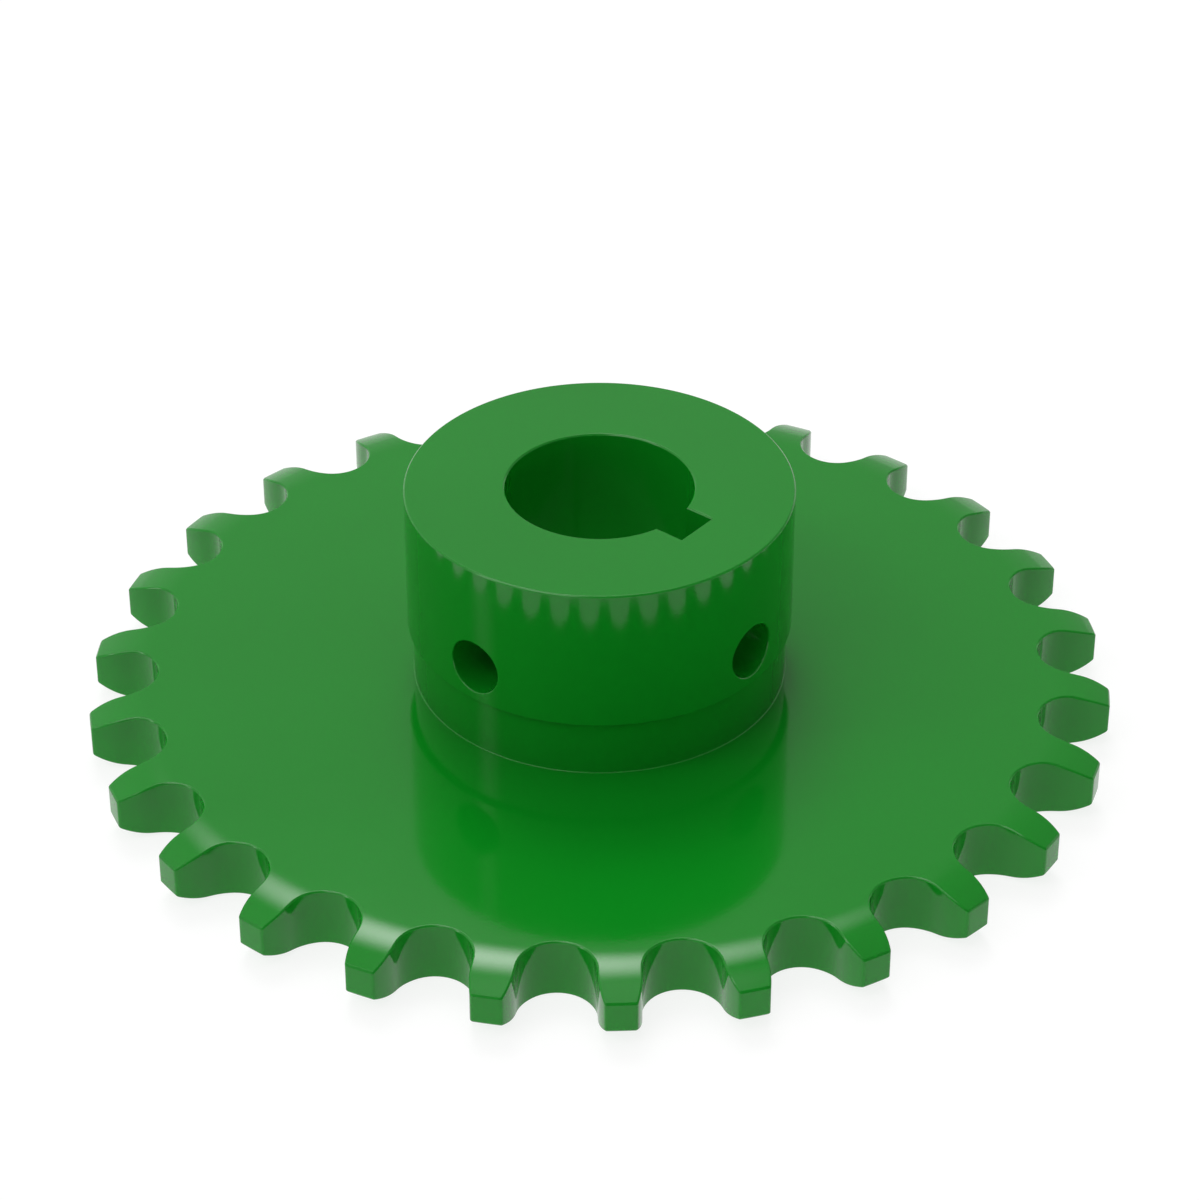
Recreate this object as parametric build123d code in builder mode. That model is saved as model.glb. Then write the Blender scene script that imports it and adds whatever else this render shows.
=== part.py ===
from build123d import *

import math
import os

# Chain sprocket with a hub on one side, for a single strand of roller chain, made from one piece of steel:
# the blank is turned on a lathe, the tooth spaces are cut round its rim, the keyway is broached through the
# bore, and two holes for set screws are drilled through the hub.
#
# Frame: +Z runs along the bore, from the flat back face to the hub's end face. The origin is on the bore
# axis at the back face. +X points through the middle of the keyway, which is also the middle of a tooth
# space. Lengths are in millimetres and angles in degrees.

# ---- Chain ----------------------------------------------------------------------------------------------
chain_pitch = 15.875  # roller centre to roller centre, 5/8 in
roller_diameter = 10.16  # 0.400 in

# ---- Toothed rim ----------------------------------------------------------------------------------------
tooth_count = 26
rim_width = 8.5  # back face to front face
seating_ratio = 1.005  # seating curve's diameter over the roller's
seating_allowance = 0.076  # added to the seating curve's diameter
seating_half_angle = 83.4  # from the bottom of a tooth space to the end of its seating curve
flank_straight = 0.635  # straight run between the seating curve and the topping curve
topping_radius = 10.92  # convex curve of the tooth's upper flank
topping_sweep = 40.0  # far enough round to leave the rim
tip_addendum = 0.6  # pitches added to the cotangent term of the outside diameter
tip_corner_break = 0.3  # small chamfer where the flank meets the tip land
relief_reach = 7.94  # how far in from the tip the side relief starts
relief_radius = 16.33  # side relief's curve, tangent to the rim's face

# ---- Hub ------------------------------------------------------------------------------------------------
overall_length = 37.4  # back face to hub end
hub_diameter = 52.5
neck_length = 8.1  # from the rim's front face to the shoulder under the hub
shoulder_step = 0.75  # how far the neck lies inside the hub
neck_root_break = 0.25  # small chamfer where the neck runs into the rim's front face
edge_break = 0.25  # small chamfer on the turned edges

# ---- Bore, keyway and set-screw holes -------------------------------------------------------------------
bore_diameter = 25.4  # 1 in
keyway_width = 6.35  # 1/4 in
keyway_depth = 3.8  # from the bore's crown to the keyway's floor
screw_hole_diameter = 7.8  # minor diameter of a 3/8-16 thread
screw_hole_from_end = 15.4  # hub end to the holes' centre line
screw_hole_angles = (0, -90)  # over the keyway, and a quarter turn from it

cutter_overrun = 0.5  # how far a cut runs past the surface where it leaves the steel

# ---- Worked out from the sizes above --------------------------------------------------------------------
half_tooth = math.radians(180 / tooth_count)
pitch_radius = chain_pitch / 2 / math.sin(half_tooth)
tip_radius = chain_pitch / 2 * (tip_addendum + 1 / math.tan(half_tooth))
seating_radius = (seating_ratio * roller_diameter + seating_allowance) / 2
relief_start = tip_radius - relief_reach
relief_sweep = math.degrees(math.asin((relief_reach + cutter_overrun) / relief_radius))
hub_radius = hub_diameter / 2
neck_radius = hub_radius - shoulder_step
shoulder_height = rim_width + neck_length
bore_radius = bore_diameter / 2
keyway_floor = bore_radius + keyway_depth
screw_hole_height = overall_length - screw_hole_from_end

os.makedirs("parts", exist_ok=True)

with BuildPart() as sprocket:
    # The turned blank, as half of its section revolved about the bore axis. The side relief is one curve on
    # each side of the rim, tangent to the face, that thins the teeth towards their tips to lead the chain on.
    with BuildSketch(Plane.XZ) as blank_section:
        with BuildLine():
            back_relief = JernArc((relief_start, 0), (1, 0), relief_radius, relief_sweep)
            front_relief = JernArc((relief_start, rim_width), (1, 0), relief_radius, -relief_sweep)
            Line(back_relief @ 1, front_relief @ 1)
            Polyline(
                front_relief @ 0,
                (neck_radius, rim_width),
                (neck_radius, shoulder_height),
                (hub_radius, shoulder_height),
                (hub_radius, overall_length),
                (0, overall_length),
                (0, 0),
                back_relief @ 0,
            )
        make_face()
        neck_root = blank_section.vertices().sort_by_distance((neck_radius, rim_width))[0]
        chamfer(neck_root, neck_root_break)
        for height in (shoulder_height, overall_length):
            hub_corner = blank_section.vertices().sort_by_distance((hub_radius, height))[0]
            chamfer(hub_corner, edge_break)
    revolve(axis=Axis.Z)

    # The rim's outline: the tip circle less one tooth space for each tooth. A tooth space is a seating curve
    # just larger than the roller, a short straight and a convex topping curve, drawn for one flank and
    # mirrored. It is carried through the blank, so the teeth keep this form and the relief thins their sides.
    with BuildSketch() as rim_outline:
        Circle(tip_radius)
        with BuildLine():
            seating = CenterArc((pitch_radius, 0), seating_radius, 180, -seating_half_angle)
            straight = Line(seating @ 1, seating @ 1 + seating % 1 * flank_straight)
            topping = JernArc(straight @ 1, straight % 1, topping_radius, topping_sweep)
            Line(topping @ 1, ((topping @ 1).X, 0))
            mirror(about=Plane.XZ)
        tooth_space = make_face(mode=Mode.PRIVATE)
        with PolarLocations(0, tooth_count):
            add(tooth_space, mode=Mode.SUBTRACT)
        tip_corners = rim_outline.vertices().sort_by_distance((0, 0))[-2 * tooth_count :]
        chamfer(tip_corners, tip_corner_break)
    extrude(amount=overall_length, mode=Mode.INTERSECT)

    # The bore, and the keyway broached along its whole length.
    Hole(bore_radius)
    with BuildSketch() as keyway_section:
        with Locations((keyway_floor / 2, 0)):
            Rectangle(keyway_floor, keyway_width)
    extrude(amount=overall_length, mode=Mode.SUBTRACT)

    # Set-screw holes, drilled from the hub's side into the bore: the first comes through the keyway's floor.
    for angle in screw_hole_angles:
        drill_axis = Axis((0, 0, screw_hole_height), Vector(1, 0, 0).rotate(Axis.Z, angle))
        with BuildSketch(Plane(drill_axis.position, z_dir=drill_axis.direction)) as screw_hole:
            Circle(screw_hole_diameter / 2)
        extrude(amount=hub_radius + cutter_overrun, mode=Mode.SUBTRACT)

    # Small chamfers at both mouths of the bore and keyway.
    for face in (sprocket.faces().sort_by(Axis.Z)[-1], sprocket.faces().sort_by(Axis.Z)[0]):
        chamfer(face.inner_wires()[0].edges(), edge_break)

sprocket.part.label = "sprocket"
export_step(sprocket.part, "parts/sprocket.step")
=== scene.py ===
import math

import bmesh
import bpy
import numpy as np
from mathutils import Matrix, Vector


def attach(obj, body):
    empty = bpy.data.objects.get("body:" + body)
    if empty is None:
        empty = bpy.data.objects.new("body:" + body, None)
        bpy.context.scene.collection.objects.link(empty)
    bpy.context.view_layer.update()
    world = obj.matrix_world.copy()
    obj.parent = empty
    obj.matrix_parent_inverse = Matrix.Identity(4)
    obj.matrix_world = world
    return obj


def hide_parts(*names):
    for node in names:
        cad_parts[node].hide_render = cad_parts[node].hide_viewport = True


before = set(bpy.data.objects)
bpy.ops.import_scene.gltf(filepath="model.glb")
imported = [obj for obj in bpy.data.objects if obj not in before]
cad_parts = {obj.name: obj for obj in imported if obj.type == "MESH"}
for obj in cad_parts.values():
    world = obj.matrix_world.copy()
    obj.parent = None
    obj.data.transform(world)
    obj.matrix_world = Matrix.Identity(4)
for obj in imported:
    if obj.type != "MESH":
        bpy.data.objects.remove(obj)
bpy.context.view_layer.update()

# ---- Toothed rim ----------------------------------------------------------------------------------------
# The outer part of the steel blank: turned with a curved relief on both sides, then hobbed to 26 tooth
# spaces for 5/8 in pitch chain. Its edges are broken, and the paint rounds them a little more.
chain_pitch = 15.875  # in millimetres, as all lengths are until the skin is finished
roller_diameter = 10.16
tooth_count = 26
rim_width = 8.5
seating_ratio = 1.005  # seating curve's diameter over the roller's
seating_allowance = 0.076  # added to the seating curve's diameter
seating_half_angle = math.radians(83.4)  # from the bottom of a tooth space to its seating curve's end
flank_straight = 0.635  # straight run between the seating curve and the topping curve
topping_radius = 10.92
tip_addendum = 0.6  # pitches added to the cotangent term of the outside diameter
tip_corner_radius = 0.4
relief_reach = 7.94  # how far in from the tip the side relief starts
relief_radius = 16.33
edge_break = 0.2  # painted edges: a broken corner at 45 degrees
edge_rounding = 0.08  # and how the paint rounds its two ends
edge_border = 0.03  # narrow strip that keeps a flat face flat up to its edge
edge_arc_points = 3

full_turn = 2 * math.pi
half_tooth = math.pi / tooth_count
pitch_radius = chain_pitch / 2 / math.sin(half_tooth)
tip_radius = chain_pitch / 2 * (tip_addendum + 1 / math.tan(half_tooth))
seating_radius = (seating_ratio * roller_diameter + seating_allowance) / 2
relief_start = tip_radius - relief_reach

# The part is one closed skin of steel. Each section adds its patches to it.
skin_points = []
skin_faces = []


def grid_quads(rows, columns):
    """The cells of a grid of points as quads of point numbers, each walked along its row first."""
    corner = np.arange(rows * columns).reshape(rows, columns)
    walked = [corner[:-1, :-1], corner[:-1, 1:], corner[1:, 1:], corner[1:, :-1]]
    return np.stack(walked, -1).reshape(-1, 4)


def lay_grid(points):
    """Adds a sheet of quads to the skin: points is a grid, or a stack of grids, with x, y and z last."""
    rows, columns = points.shape[-3:-1]
    sheets = points.reshape(-1, rows * columns, 3)
    quads = grid_quads(rows, columns)
    first = sum(len(p) for p in skin_points) + rows * columns * np.arange(len(sheets))
    skin_points.append(sheets.reshape(-1, 3))
    skin_faces.append((quads + first[:, None, None]).reshape(-1, 4))


def lay_ring(ring_a, ring_b):
    """Adds the flat band between two closed rings of points that start on the +X axis. Both are walked by
    angle, and each edge of one makes a triangle with the last point passed on the other."""
    ring_angles = (np.arctan2(ring[:, 1], ring[:, 0]) % full_turn for ring in (ring_a, ring_b))
    angle_a, angle_b = (np.append(angles, full_turn) for angles in ring_angles)
    angle_a[0] = angle_b[0] = 0
    apex_a = (np.searchsorted(angle_b, angle_a[1:], side="right") - 1) % len(ring_b)
    apex_b = (np.searchsorted(angle_a, angle_b[1:], side="left") - 1) % len(ring_a)
    start_a = sum(len(p) for p in skin_points)
    start_b = start_a + len(ring_a)
    edge_a, edge_b = np.arange(len(ring_a)), np.arange(len(ring_b))
    skin_points.extend([ring_a, ring_b])
    skin_faces.append(np.stack([start_a + edge_a, start_a + np.roll(edge_a, -1), start_b + apex_a], -1))
    skin_faces.append(np.stack([start_b + edge_b, start_b + np.roll(edge_b, -1), start_a + apex_b], -1))


def polar(radius, angle, height):
    """Points at these radii and angles about the bore's axis, at these heights."""
    radius, angle, height = np.broadcast_arrays(radius, angle, height)
    return np.stack([radius * np.cos(angle), radius * np.sin(angle), height], -1)


def edge_section(width):
    """A broken edge of this width in section, from the face to the wall: how far each row lies in from
    the wall, and how far below the face. The 45 degree line between them starts and ends in an arc of
    radius r, the edge_rounding. The arc's points lie r(tan 22.5 - sin t) beyond the corner that it rounds
    and r(1 - cos t) below the face or inside the wall, for t from 0 to 45 degrees."""
    turn = np.linspace(0, math.pi / 4, edge_arc_points)
    along = width + edge_rounding * (math.tan(math.pi / 8) - np.sin(turn))
    below = edge_rounding * (1 - np.cos(turn))
    far = along[0] + edge_border
    inset = np.concatenate([[far], along, below[::-1], [0]])
    return inset, inset[::-1]


def relief_depth(radius):
    """How far the side of the rim lies below its flat face: nothing out to the relief's start, and from
    there the drop of a circle that is tangent to the face, its radius less the root of its radius squared
    less the run squared."""
    run = np.clip(radius - relief_start, 0, None)
    return relief_radius - np.sqrt(relief_radius**2 - run**2)


def circle_point(centre, radius, outer_radius):
    """Where a circle about centre meets the circle of outer_radius about the bore. Of the two points it
    is the one that comes first round the bore's axis."""
    reach = np.hypot(*centre)
    along = (reach**2 + outer_radius**2 - radius**2) / (2 * reach)
    across = math.sqrt(outer_radius**2 - along**2)
    axis = centre / reach
    return along * axis + across * np.array([axis[1], -axis[0]])


def normal_at(angle):
    """Unit vectors in the rim's plane at these angles."""
    return np.stack([np.cos(angle), np.sin(angle)], -1)


seat_count, topping_count, corner_count = 13, 9, 5  # points along each curve of a flank
land_columns = 12  # spaces across a tooth, from flank to flank


def flank():
    """One flank from the bottom of the tooth space on +X up to the tip, as points and outward normals: a
    seating curve, a straight, a topping curve and the rounded tip corner. Each curve is its centre plus
    or minus its radius along the normal, and the next one starts where the normals agree."""
    seat_turn = np.linspace(0, -seating_half_angle, seat_count)
    seat_points = np.array([pitch_radius, 0]) - seating_radius * normal_at(seat_turn)
    seat_end_normal = normal_at(-seating_half_angle)
    along = np.array([-seat_end_normal[1], seat_end_normal[0]])
    topping_centre = seat_points[-1] + flank_straight * along - topping_radius * seat_end_normal
    inside_topping, inside_tip = (radius - tip_corner_radius for radius in (topping_radius, tip_radius))
    tip_centre = circle_point(topping_centre, inside_topping, inside_tip)
    corner_start, corner_end = (math.atan2(v[1], v[0]) for v in (tip_centre - topping_centre, tip_centre))
    topping_turn = np.linspace(-seating_half_angle, corner_start, topping_count)
    corner_turn = np.linspace(corner_start, corner_end, corner_count)[1:]
    topping_points = topping_centre + topping_radius * normal_at(topping_turn)
    corner_points = tip_centre + tip_corner_radius * normal_at(corner_turn)
    points = np.concatenate([seat_points, topping_points, corner_points])
    return points, normal_at(np.concatenate([seat_turn, topping_turn, corner_turn]))


flank_points, flank_normals = flank()


def tooth_outline(inset):
    """The outline of a tooth moved inwards by inset, as radii and angles from the middle of the tooth
    space before it: the flank, the land at the tip circle, and the flank mirrored about the tooth's
    middle."""
    points = flank_points - inset * flank_normals
    radius, angle = np.hypot(points[:, 0], points[:, 1]), np.arctan2(points[:, 1], points[:, 0])
    land = np.linspace(angle[-1], 2 * half_tooth - angle[-1], land_columns + 1)[1:-1]
    radius = np.concatenate([radius, np.full(land_columns - 1, radius[-1]), radius[::-1]])
    return radius, np.concatenate([angle, land, 2 * half_tooth - angle[::-1]])


edge_inset, edge_drop = edge_section(edge_break)
edge_reach = edge_inset[0]
tooth_starts = 2 * half_tooth * np.arange(tooth_count)[:, None, None]

# The edge of the rim, from the border on the front side, round the edge, down the flanks and lands, and
# round the other edge. The rows follow the outline at each row's inset, and the sides' relief at their
# radius.
outlines = [tooth_outline(inset) for inset in edge_inset]
wall_radius, wall_angle = (np.array(part) for part in zip(*outlines))
wall_drop = relief_depth(wall_radius) + edge_drop[:, None]
wall_height = np.concatenate([rim_width - wall_drop, wall_drop[::-1]])
wall_radius, wall_angle = (np.concatenate([part, part[::-1]]) for part in (wall_radius, wall_angle))
lay_grid(polar(wall_radius, wall_angle + tooth_starts, wall_height))

# The sides of the teeth: each row is an arc about the bore's axis from flank to flank, so all of it lies
# at one depth of the relief.
row_radius, row_angle = (part[: len(flank_points), None] for part in tooth_outline(edge_reach))
row_angle = half_tooth + (row_angle - half_tooth) * np.linspace(1, -1, land_columns + 1)
for side_height in (rim_width - relief_depth(row_radius), relief_depth(row_radius)):
    lay_grid(polar(row_radius, row_angle + tooth_starts, side_height))
rim_turns = 2 * half_tooth * np.arange(tooth_count * land_columns) / land_columns
rim_radius = row_radius[0, 0]

# ---- Hub ------------------------------------------------------------------------------------------------
# The same steel, turned down to a hub on one side of the rim, with a slightly smaller neck between them
# and small broken edges. Two holes for set screws go in through its side.
overall_length = 37.4  # back face to the hub's end
hub_radius = 26.25
hub_column_spacing = math.radians(1.5)
neck_radius = 25.5
neck_root_radius = 0.15
shoulder_height = 16.6
shoulder_edge_break = 0.25
screw_hole_radius = 3.9
screw_hole_height = 22.0
screw_hole_turns = (0, -math.pi / 2)  # over the keyway, and a quarter turn from it
mouth_rounding = 0.19  # at the holes' outer ends
keyway_half_width = 3.175  # less than a hole's radius, so the first hole notches the keyway's walls
notch_turn = math.acos(keyway_half_width / screw_hole_radius)  # from the hole's side to the notch's end

notch_count, arch_count = 6, 15  # points of a hole's circle along a notch, and between two notches
half_round = np.concatenate([
    np.linspace(0, notch_turn, notch_count),
    np.linspace(notch_turn, math.pi - notch_turn, arch_count)[1:-1],
    np.linspace(math.pi - notch_turn, math.pi, notch_count),
])
mouth_radius = screw_hole_radius + mouth_rounding
# The columns beside a hole, from just outside its mouth and then ever wider apart.
beside_hole = np.array([mouth_radius + edge_border, 4.25, 4.38, 4.6, 4.95, 5.45, 6.1])
over_hole = mouth_radius * np.cos(half_round[::-1])
hole_turns = np.arcsin(np.concatenate([-beside_hole[::-1], over_hole, beside_hole]) / hub_radius)
second_hole_turn = screw_hole_turns[1] % full_turn
nearly_nothing = 1e-9


def turns_with_holes(near_hole, spacing):
    """Angles once round the axis from zero: those given near each of the two holes, and evenly spaced
    ones between them."""
    spans = [near_hole, near_hole + second_hole_turn]
    gaps = [(spans[0][-1], spans[1][0]), (spans[1][-1], spans[0][0] + full_turn)]
    between = [np.linspace(a, b, round((b - a) / spacing) + 1)[1:-1] for a, b in gaps]
    turns = np.sort(np.concatenate(spans + between) % full_turn)
    return np.concatenate([[0], turns[turns > nearly_nothing]])


hub_turns = turns_with_holes(hole_turns, hub_column_spacing)
beyond_hole = math.radians(30)  # past a hole's rim, and well short of the other hole


def across_hole(turns, radius):
    """How far each column lies to the side of the nearer hole's axis, on a cylinder of this radius."""
    off = np.stack([(turns - hole + math.pi) % full_turn - math.pi for hole in screw_hole_turns])
    off = np.take_along_axis(off, np.abs(off).argmin(0)[None], 0)[0]
    return np.where(np.abs(off) < beyond_hole, radius * np.sin(off), radius)


def half_height(across, radius):
    """Half the height of a round hole of this radius at this distance from its axis: the root of the
    radius squared less the distance squared, or nothing outside the hole."""
    return np.sqrt(np.clip(radius**2 - across**2, 0, None))


def turned(profile_radius, profile_height, turns):
    """A surface of revolution: the profile's rows carried round the axis through the columns' angles."""
    closed = np.append(turns, full_turn)
    rows = [np.asarray(part, float) for part in (profile_radius, profile_height)]
    radius, height = (part[:, None] if part.ndim == 1 else np.c_[part, part[:, :1]] for part in rows)
    return polar(radius, closed, height)


# The neck: a small fillet out of the rim's face, the neck's wall, and the shoulder under the hub.
fillet = np.linspace(0, math.pi / 2, 6)
fillet_radius = neck_radius + neck_root_radius * (1 - np.sin(fillet))
fillet_height = rim_width + neck_root_radius * (1 - np.cos(fillet))
root_reach = neck_root_radius + edge_border
neck_rows = [(neck_radius + root_reach, rim_width), *zip(fillet_radius, fillet_height),
             (neck_radius, rim_width + root_reach), (neck_radius, shoulder_height)]
lay_grid(turned(*zip(*neck_rows), hub_turns))
shoulder_inset, shoulder_drop = edge_section(shoulder_edge_break)
shoulder_radius = np.append(neck_radius, hub_radius - shoulder_inset)
lay_grid(turned(shoulder_radius, shoulder_height + np.append(0, shoulder_drop), hub_turns))

# The hub's side, up to the holes' rims and on to the top edge: rows of the columns inside a hole are
# squeezed above and below it, and the two halves meet level with the holes' axes everywhere else.
across = across_hole(hub_turns, hub_radius)
hole_edge = half_height(across, mouth_radius)
hole_border = np.maximum(half_height(across, mouth_radius + edge_border), edge_border)
reach = screw_hole_height - shoulder_height - shoulder_inset[0]
spread = np.array([0, 0.12, 0.3, 0.58, 1])[:, None]  # rows ever wider apart, away from the hole
squeezed = np.concatenate([hole_edge[None], hole_border + spread * (reach - hole_border)])
lay_grid(turned(np.full(len(squeezed), hub_radius), screw_hole_height - squeezed, hub_turns))
above = np.linspace(screw_hole_height + reach, overall_length - edge_reach, 6)[1:, None]
above = np.broadcast_to(above, (len(above), len(hub_turns)))
side_height = np.concatenate([screw_hole_height + squeezed, above])
lay_grid(turned(np.full(len(side_height), hub_radius), side_height, hub_turns))
lay_grid(turned(hub_radius - edge_inset[::-1], overall_length - edge_drop[::-1], hub_turns))

# The rim's front face, between the rim's edge and the neck's fillet.
neck_ring = polar(neck_radius + root_reach, hub_turns, rim_width)
lay_ring(polar(rim_radius, rim_turns, rim_width), neck_ring)

# ---- Bore and keyway ------------------------------------------------------------------------------------
# The hole for a 1 in shaft, bored through hub and rim, and the keyway for a 1/4 in key, broached along
# its whole length. Both mouths have their edges broken.
bore_radius = 12.7
bore_column_spacing = math.radians(2.5)
bore_rows = 9  # along the bore's wall, above the set-screw holes and below them
keyway_floor = 16.5  # from the bore's axis

keyway_corner = math.sqrt(bore_radius**2 - keyway_half_width**2)  # where the keyway's wall meets the bore
wall_steps = np.linspace(0, 1, 5)
wall_x = keyway_corner + wall_steps * (keyway_floor - keyway_corner)
hole_side = screw_hole_radius * np.cos(half_round)
floor_y = hole_side[notch_count:-notch_count]  # the hole's columns across the keyway's floor, on one side
floor_y = floor_y[floor_y > nearly_nothing][::-1]

# The bore's columns, as angles: close together where the holes cut it, beside the keyway and round the
# second hole, and evenly spaced between.
beside_bore_hole = np.array([3.93, 4.0, 4.12, 4.3, 4.55])  # columns ever wider apart
near_keyway = np.concatenate([hole_side[:notch_count][::-1], beside_bore_hole])
near_screw = np.concatenate([-beside_bore_hole[::-1], hole_side[::-1], beside_bore_hole])
near_keyway, near_screw = (np.arcsin(columns / bore_radius) for columns in (near_keyway, near_screw))
bore_spans = [near_keyway, near_screw + second_hole_turn, full_turn - near_keyway[::-1]]
bore_gaps = [np.linspace(a[-1], b[0], round((b[0] - a[-1]) / bore_column_spacing) + 1)[1:-1]
             for a, b in zip(bore_spans, bore_spans[1:])]
bore_turns = np.concatenate([bore_spans[0], bore_gaps[0], bore_spans[1], bore_gaps[1], bore_spans[2]])
arc_normals = normal_at(bore_turns)
mitre = (bore_radius - keyway_half_width) / keyway_corner
arc_normals[0], arc_normals[-1] = (mitre, 1), (mitre, -1)


def column(x, y, normal_x, normal_y):
    """Columns of the bore's wall: x, y and the way each moves as the outline is widened."""
    return np.stack(np.broadcast_arrays(np.asarray(x, float), y, normal_x, normal_y), -1).reshape(-1, 4)


# The keyed bore's outline, once round from the middle of the keyway's floor: x, y and the way each point
# moves as the outline is widened at the mouths.
half_floor = [column(keyway_floor, floor_y, 1, 0), column(keyway_floor, keyway_half_width, 1, 1),
              column(wall_x[-2:0:-1], keyway_half_width, 0, 1)]
flipped = np.array([1, -1, 1, -1])
bore_outline = np.concatenate([column(keyway_floor, 0, 1, 0), *half_floor,
                               np.c_[bore_radius * normal_at(bore_turns), arc_normals],
                               *[part[::-1] * flipped for part in half_floor[::-1]]])


def cut_half_height(outline):
    """Half the height that the set-screw holes take out of the bore's wall at each column: they cut the
    keyway's floor and the bore in circles, and the keyway's side walls in a straight slot."""
    x, y = outline[:, 0], outline[:, 1]
    side = np.where(x > 0, np.abs(y), bore_radius)
    second = np.where(y < 0, np.abs(x), bore_radius)
    return np.maximum(half_height(side, screw_hole_radius), half_height(second, screw_hole_radius))


def bored(inset, height):
    """The keyed bore's wall: rows of the outline, each widened by its inset, at its heights."""
    closed = np.concatenate([bore_outline, bore_outline[:1]])
    inset, height = np.asarray(inset, float).reshape(-1, 1), np.asarray(height, float)
    height = height[:, None] if height.ndim == 1 else np.c_[height, height[:, :1]]
    x, y = (closed[:, i] + inset * closed[:, i + 2] for i in (0, 1))
    return np.stack(np.broadcast_arrays(x, y, height), -1)


lay_grid(bored(edge_inset, overall_length - edge_drop))
lay_grid(bored(edge_inset, edge_drop))
cut = cut_half_height(bore_outline)
down = np.linspace(0, 1, bore_rows)[:, None]
top, bottom = overall_length - edge_reach, edge_reach
lay_grid(bored(np.zeros(bore_rows), top + down * (screw_hole_height + cut - top)))
lay_grid(bored(np.zeros(bore_rows), screw_hole_height - cut + down * (bottom - screw_hole_height + cut)))

# The hub's end face and the flat back face, each between its outer edge and the keyed bore's mouth.
bore_ring = bored([edge_reach], [0])[0, :-1]
lay_ring(polar(hub_radius - edge_reach, hub_turns, overall_length), bore_ring + (0, 0, overall_length))
lay_ring(polar(rim_radius, rim_turns, 0), bore_ring)

# ---- Set-screw holes ------------------------------------------------------------------------------------
# Two holes drilled from the hub's side and tapped 3/8-16, one over the keyway to bear on the key and one
# a quarter turn away to bear on the shaft. Paint fills the outer threads and thins out further in.
thread_pitch = 25.4 / 16  # 16 threads to the inch
thread_depth = 0.8
paint_fill = 6.0  # how far in from the mouth the paint fills the threads, and from there less and less
paint_thins = 3.0  # over this length
thread_runout = 0.5  # at the hole's inner end
thread_turn = np.array([0.03, 0.22, 0.30, 0.54, 0.71, 0.95])  # along one pitch: crest, flank, root, flank
thread_form = np.array([0, 0, 0.12, 0.95, 0.95, 0.12]) * thread_depth

round_turns = np.concatenate([half_round, math.pi + half_round[1:]])
side, lift = np.cos(round_turns), np.sin(round_turns)


def hole_points(out, radius, turn):
    """Points of a hole that points along +X, turned about the bore's axis to where it is drilled."""
    out, y, z = np.broadcast_arrays(out, radius * side, screw_hole_height + radius * lift)
    cosine, sine = math.cos(turn), math.sin(turn)
    return np.stack([out * cosine - y * sine, out * sine + y * cosine, z], -1)


def threaded(inner, outer, turn):
    """A tapped wall: rows that climb one pitch per turn, at each row's depth in the thread's section,
    held between the hole's two ends. The depth fades to the plain hole where the paint fills the threads,
    as 3u^2 - 2u^3, and evenly at the inner end."""
    first, last = math.floor(inner.min() / thread_pitch) - 2, math.ceil(outer.max() / thread_pitch) + 1
    climb = (np.arange(first, last)[:, None] + thread_turn).ravel()[:, None]
    depth = np.tile(thread_form, last - first)[:, None]
    out = np.clip(thread_pitch * (climb + round_turns / full_turn), inner, outer)
    bare = np.clip((outer - out - paint_fill) / paint_thins, 0, 1)
    fade = np.minimum(bare**2 * (3 - 2 * bare), (out - inner) / thread_runout)
    return hole_points(out, screw_hole_radius + depth * np.clip(fade, 0, 1), turn)


mouth_turn = np.linspace(0, math.pi / 2, 5)[:, None]
mouth_rows = screw_hole_radius + mouth_rounding * (1 - np.sin(mouth_turn))
mouth_sink = mouth_rounding * (1 - np.cos(mouth_turn))
plain_side = screw_hole_radius * side
hole_mouth = np.sqrt(hub_radius**2 - plain_side**2) - mouth_rounding
bore_end = np.sqrt(bore_radius**2 - plain_side**2)
for turn in screw_hole_turns:
    mouth = np.sqrt(hub_radius**2 - (mouth_rows * side) ** 2) - mouth_sink
    lay_grid(hole_points(mouth, mouth_rows, turn))
lay_grid(threaded(np.full(len(side), keyway_floor), hole_mouth, screw_hole_turns[0]))
lay_grid(threaded(bore_end, hole_mouth, screw_hole_turns[1]))
# Beside the keyway, where the first hole is wider than it, its wall runs on from the floor's level to the
# bore in two strips, each the columns of one notch.
runs_on = bore_end + wall_steps[:, None] * (keyway_floor - bore_end)
whole_wall = hole_points(runs_on, screw_hole_radius, screw_hole_turns[0])[:, :-1]
notch_columns = np.arange(1 - notch_count, notch_count)
for middle in (0, len(half_round) - 1):
    lay_grid(np.take(whole_wall, middle + notch_columns, 1, mode="wrap"))

# The patches are joined into one closed body, in metres. Edges that stay crisp are marked by their angle.
millimetre = 0.001
weld_distance, smallest_edge = 1e-6, 1e-7  # in metres
crisp_angle = math.radians(38)
points = np.concatenate(skin_points) * millimetre
body_mesh = bpy.data.meshes.new("sprocket_body")
body_mesh.from_pydata(points.tolist(), [], [face for part in skin_faces for face in part.tolist()])
welded = bmesh.new()
welded.from_mesh(body_mesh)
bmesh.ops.remove_doubles(welded, verts=welded.verts, dist=weld_distance)
bmesh.ops.dissolve_degenerate(welded, edges=welded.edges, dist=smallest_edge)
bmesh.ops.recalc_face_normals(welded, faces=welded.faces)
welded.to_mesh(body_mesh)
welded.free()
body_mesh.shade_smooth()
body_mesh.set_sharp_from_angle(angle=crisp_angle)
body = bpy.data.objects.new("sprocket_body", body_mesh)
bpy.context.scene.collection.objects.link(body)
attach(body, "root")
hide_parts("sprocket")

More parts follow.
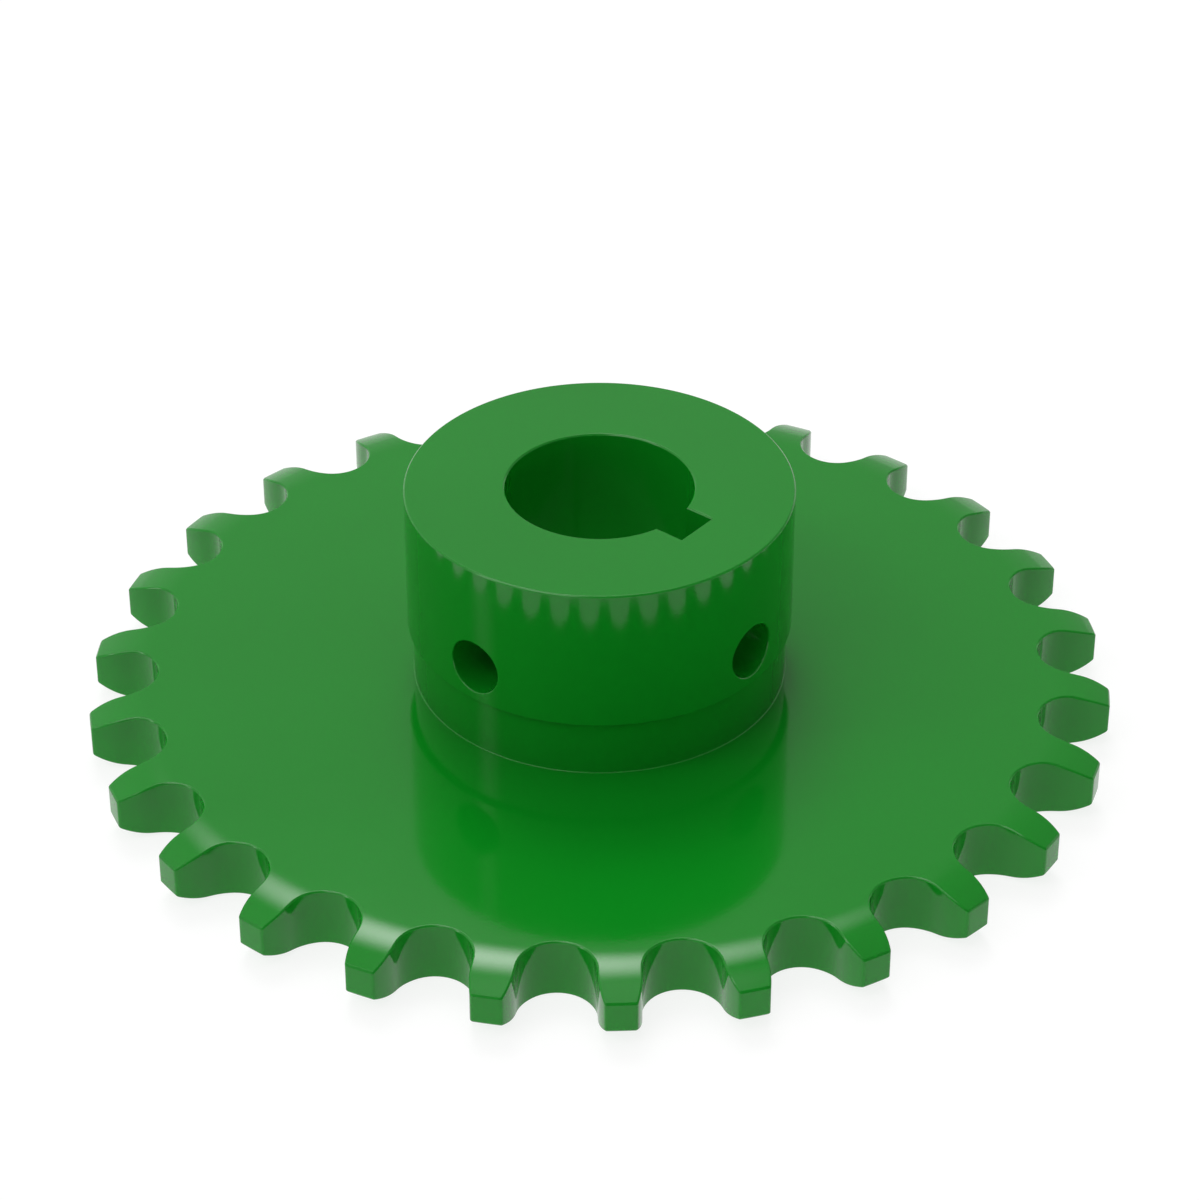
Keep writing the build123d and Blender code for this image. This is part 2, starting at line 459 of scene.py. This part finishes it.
# ---- Green enamel ---------------------------------------------------------------------------------------
# One coat of gloss green enamel sprayed over the whole part, bore and all. It is a little uneven in depth
# and gloss, with a slight orange peel and a finer grain, and the lathe's rings still show very faintly.
thin_coat, full_coat = (0.0035, 0.243, 0.0115, 1), (0.0030, 0.257, 0.0121, 1)
glossiest, dullest = 0.075, 0.095  # roughness
coat_patch, gloss_patch = 0.03, 0.011  # size of the uneven patches, in metres
ring_width, ring_depth = 0.0006, 8e-7
peel_size, peel_depth = 0.0016, 2.5e-6
grain_size, grain_depth = 0.00035, 3e-6

enamel = bpy.data.materials.new("green_enamel")
enamel.use_nodes = True
nodes, links = enamel.node_tree.nodes, enamel.node_tree.links
paint = nodes["Principled BSDF"]
paint.inputs["IOR"].default_value = 1.45
place = nodes.new("ShaderNodeTexCoord").outputs["Object"]


def noise(vector, size, detail):
    """Cloudy noise from 0 to 1 whose lumps are about this size in metres."""
    texture = nodes.new("ShaderNodeTexNoise")
    texture.inputs["Scale"].default_value = 1 / size
    texture.inputs["Detail"].default_value = detail
    links.new(vector, texture.inputs["Vector"])
    return texture.outputs["Fac"]


def mapped(value, from_low, from_high, to_low, to_high, interpolation="LINEAR"):
    """A value mapped from one range to another, and held at the ends of it."""
    ranges = nodes.new("ShaderNodeMapRange")
    ranges.interpolation_type = interpolation
    numbers = {"From Min": from_low, "From Max": from_high, "To Min": to_low, "To Max": to_high}
    for socket, number in numbers.items():
        ranges.inputs[socket].default_value = number
    links.new(value, ranges.inputs["Value"])
    return ranges.outputs[0]


def ranged(value, low, high):
    """A noise spread out from low to high. Most of it lies in its middle range, from 0.3 to 0.7."""
    return mapped(value, 0.3, 0.7, low, high)


def bumped(height, depth, normal=None):
    """A bump of this depth in metres from a height of 0 to 1, on top of another bump if one is given."""
    bump = nodes.new("ShaderNodeBump")
    bump.inputs["Distance"].default_value = depth
    links.new(height, bump.inputs["Height"])
    if normal:
        links.new(normal, bump.inputs["Normal"])
    return bump.outputs["Normal"]


coat = nodes.new("ShaderNodeMix")
coat.data_type = "RGBA"  # its sockets go by number, because the node has several of each name
coat_share, coat_a, coat_b, coat_colour = coat.inputs[0], coat.inputs[6], coat.inputs[7], coat.outputs[2]
coat_a.default_value, coat_b.default_value = thin_coat, full_coat
links.new(ranged(noise(place, coat_patch, 3), 0, 1), coat_share)
links.new(coat_colour, paint.inputs["Base Color"])
links.new(ranged(noise(place, gloss_patch, 2), glossiest, dullest), paint.inputs["Roughness"])

# The lathe's rings: noise that changes only with the distance from the bore's axis and with the height.
apart = nodes.new("ShaderNodeSeparateXYZ")
links.new(place, apart.inputs[0])
flat = nodes.new("ShaderNodeCombineXYZ")
reach_out = nodes.new("ShaderNodeVectorMath")
reach_out.operation = "LENGTH"
ring = nodes.new("ShaderNodeCombineXYZ")
links.new(apart.outputs["X"], flat.inputs["X"])
links.new(apart.outputs["Y"], flat.inputs["Y"])
links.new(flat.outputs[0], reach_out.inputs[0])
links.new(reach_out.outputs["Value"], ring.inputs["X"])
links.new(apart.outputs["Z"], ring.inputs["Y"])
turned_rings = bumped(noise(ring.outputs[0], ring_width, 1), ring_depth)
orange_peel = bumped(noise(place, peel_size, 1), peel_depth, turned_rings)
fine_grain = bumped(noise(place, grain_size, 1), grain_depth, orange_peel)
links.new(fine_grain, paint.inputs["Normal"])
body_mesh.materials.append(enamel)

# ---- Camera ---------------------------------------------------------------------------------------------
# A long lens at a little over half a metre, aimed at half the part's height. It stands between the two
# set-screw holes and looks down on the hub.
camera_data = bpy.data.cameras.new("camera")
camera = bpy.data.objects.new("camera", camera_data)
bpy.context.scene.collection.objects.link(camera)
camera_aim = Vector((0, 0, 0.0187))
camera_distance = 0.54456
camera_turn, camera_rise = math.radians(-50.69), math.radians(34.81)
level = Vector((math.cos(camera_turn), math.sin(camera_turn), 0))
camera_away = level * math.cos(camera_rise) + Vector((0, 0, math.sin(camera_rise)))
camera.location = camera_aim + camera_distance * camera_away
camera.rotation_euler = (-camera_away).to_track_quat("-Z", "Y").to_euler()
camera_data.lens = 119.77
camera_data.sensor_width = 36
camera_data.shift_x = 0.00036  # shares of the frame's width
camera_data.clip_start = 0.01
bpy.context.scene.camera = camera

# ---- Floor and light ------------------------------------------------------------------------------------
# A pale floor that curves up into a low backdrop all round, in a plain grey room with soft round lamps in
# its walls. Under the part the floor glows a little, and lights the bore and tooth spaces from below.
floor_rings = [0, 0.3, 1, 2, 3]  # in metres
cove_start, cove_radius, cove_sweep = 4, 1.2, math.radians(80)
floor_gap = 0.00005  # keeps the floor just clear of the part's back face

floor_turns = np.linspace(0, full_turn, 97)
cove = np.linspace(0, cove_sweep, 13)
floor_radius = np.append(floor_rings, cove_start + cove_radius * np.sin(cove))
floor_height = np.append(np.zeros(len(floor_rings)), cove_radius * (1 - np.cos(cove)))
sweep = polar(floor_radius[:, None], floor_turns, floor_height[:, None] - floor_gap)
quads = grid_quads(*sweep.shape[:2])[:, [0, 3, 2, 1]]  # walked the other way round, to face up
floor_mesh = bpy.data.meshes.new("floor")
floor_mesh.from_pydata(sweep.reshape(-1, 3).tolist(), [], quads.tolist())
floor_mesh.shade_smooth()
floor = bpy.data.objects.new("floor", floor_mesh)
bpy.context.scene.collection.objects.link(floor)

# The floor's material: matt, with the glow, for the light that it throws back on the part. The camera
# and the part's gloss find it nearly white, with a faint shadow.
floor_colour = 0.8
glow_strength = 1.1
glow_full, glow_end = 0.02, 0.10  # full out to here, and gone from here on, in metres from the axis
shadow_share = 0.2  # how much of what is seen still takes light and shadow
mirrored_strength, seen_extra = 0.7, 0.14  # what gloss finds, and how much more the camera finds

pale = bpy.data.materials.new("floor_pale")
pale.use_nodes = True
nodes, links = pale.node_tree.nodes, pale.node_tree.links
matt = nodes["Principled BSDF"]
matt.inputs["Base Color"].default_value = (floor_colour, floor_colour, floor_colour, 1)
matt.inputs["Roughness"].default_value = 1
matt.inputs["Specular IOR Level"].default_value = 0
matt.inputs["Emission Color"].default_value = (1, 1, 1, 1)
off_centre = nodes.new("ShaderNodeVectorMath")
off_centre.operation = "LENGTH"
links.new(nodes.new("ShaderNodeTexCoord").outputs["Object"], off_centre.inputs[0])
glow = mapped(off_centre.outputs["Value"], glow_full, glow_end, glow_strength, 0, "SMOOTHSTEP")
links.new(glow, matt.inputs["Emission Strength"])

rays = nodes.new("ShaderNodeLightPath")
seen_matt = nodes.new("ShaderNodeBsdfDiffuse")
seen_matt.inputs["Color"].default_value = (shadow_share, shadow_share, shadow_share, 1)
seen_strength = nodes.new("ShaderNodeMath")
seen_strength.operation = "MULTIPLY_ADD"
seen_strength.inputs[1].default_value = seen_extra
seen_strength.inputs[2].default_value = mirrored_strength
links.new(rays.outputs["Is Camera Ray"], seen_strength.inputs[0])
seen_white = nodes.new("ShaderNodeEmission")
links.new(seen_strength.outputs[0], seen_white.inputs["Strength"])
seen = nodes.new("ShaderNodeAddShader")
links.new(seen_matt.outputs[0], seen.inputs[0])
links.new(seen_white.outputs[0], seen.inputs[1])

camera_or_glossy = nodes.new("ShaderNodeMath")
camera_or_glossy.operation = "MAXIMUM"
links.new(rays.outputs["Is Camera Ray"], camera_or_glossy.inputs[0])
links.new(rays.outputs["Is Glossy Ray"], camera_or_glossy.inputs[1])
any_sight = nodes.new("ShaderNodeMath")
any_sight.operation = "MAXIMUM"
links.new(camera_or_glossy.outputs[0], any_sight.inputs[0])
links.new(rays.outputs["Is Transmission Ray"], any_sight.inputs[1])
chosen = nodes.new("ShaderNodeMixShader")
links.new(any_sight.outputs[0], chosen.inputs["Fac"])
links.new(matt.outputs[0], chosen.inputs[1])
links.new(seen.outputs[0], chosen.inputs[2])
links.new(chosen.outputs[0], nodes["Material Output"].inputs["Surface"])
floor_mesh.materials.append(pale)

# The room: grey walls, and soft lamps in them that fade out towards their edges.
wall_radiance = 0.16
world = bpy.data.worlds.new("studio")
bpy.context.scene.world = world
world.use_nodes = True
nodes, links = world.node_tree.nodes, world.node_tree.links
toward = nodes.new("ShaderNodeTexCoord").outputs["Generated"]


def soft_lamp(turn, rise, core, edge, radiance, others=None):
    """Adds a lamp in the room's wall to the others, or to the bare walls, turn degrees round from the
    camera and rise degrees up. It is even out to core degrees from its middle and fades to nothing at
    edge degrees, as 1 - 3u^2 + 2u^3."""
    turn, rise = camera_turn + math.radians(turn), math.radians(rise)
    middle = (math.cos(rise) * math.cos(turn), math.cos(rise) * math.sin(turn), math.sin(rise))
    cosine = nodes.new("ShaderNodeVectorMath")
    cosine.operation = "DOT_PRODUCT"
    cosine.inputs[1].default_value = middle
    links.new(toward, cosine.inputs[0])
    off = nodes.new("ShaderNodeMath")
    off.operation = "ARCCOSINE"
    links.new(cosine.outputs["Value"], off.inputs[0])
    total = nodes.new("ShaderNodeMath")
    total.inputs[1].default_value = wall_radiance
    core, edge = math.radians(core), math.radians(edge)
    links.new(mapped(off.outputs[0], core, edge, radiance, 0, "SMOOTHSTEP"), total.inputs[0])
    if others:
        links.new(others, total.inputs[1])
    return total.outputs[0]


room = soft_lamp(189.5, 57.6, 0, 20, 8.4)  # the main lamp, high behind the part
room = soft_lamp(0, 90, 10, 24, 0.79, room)  # the ceiling's lamp
room = soft_lamp(180, 20, 60, 130, 0.215, room)  # paler walls behind
room = soft_lamp(180, 10, 15, 50, 0.165, room)
room = soft_lamp(-90, 20, 10, 100, 0.49, room)  # a wide fill from the left
for turn, rise in ((-72, 50), (-48, 54), (-26, 55)):  # a strip light, high up from the left to the front
    room = soft_lamp(turn, rise, 0, 13, 2.8, room)
room = soft_lamp(-73, 35, 0, 9, 3.8, room)  # and a small lamp below its left end
links.new(room, nodes["Background"].inputs["Strength"])
nodes["Background"].inputs["Color"].default_value = (1, 1, 1, 1)

bpy.context.scene.view_settings.view_transform = "Standard"
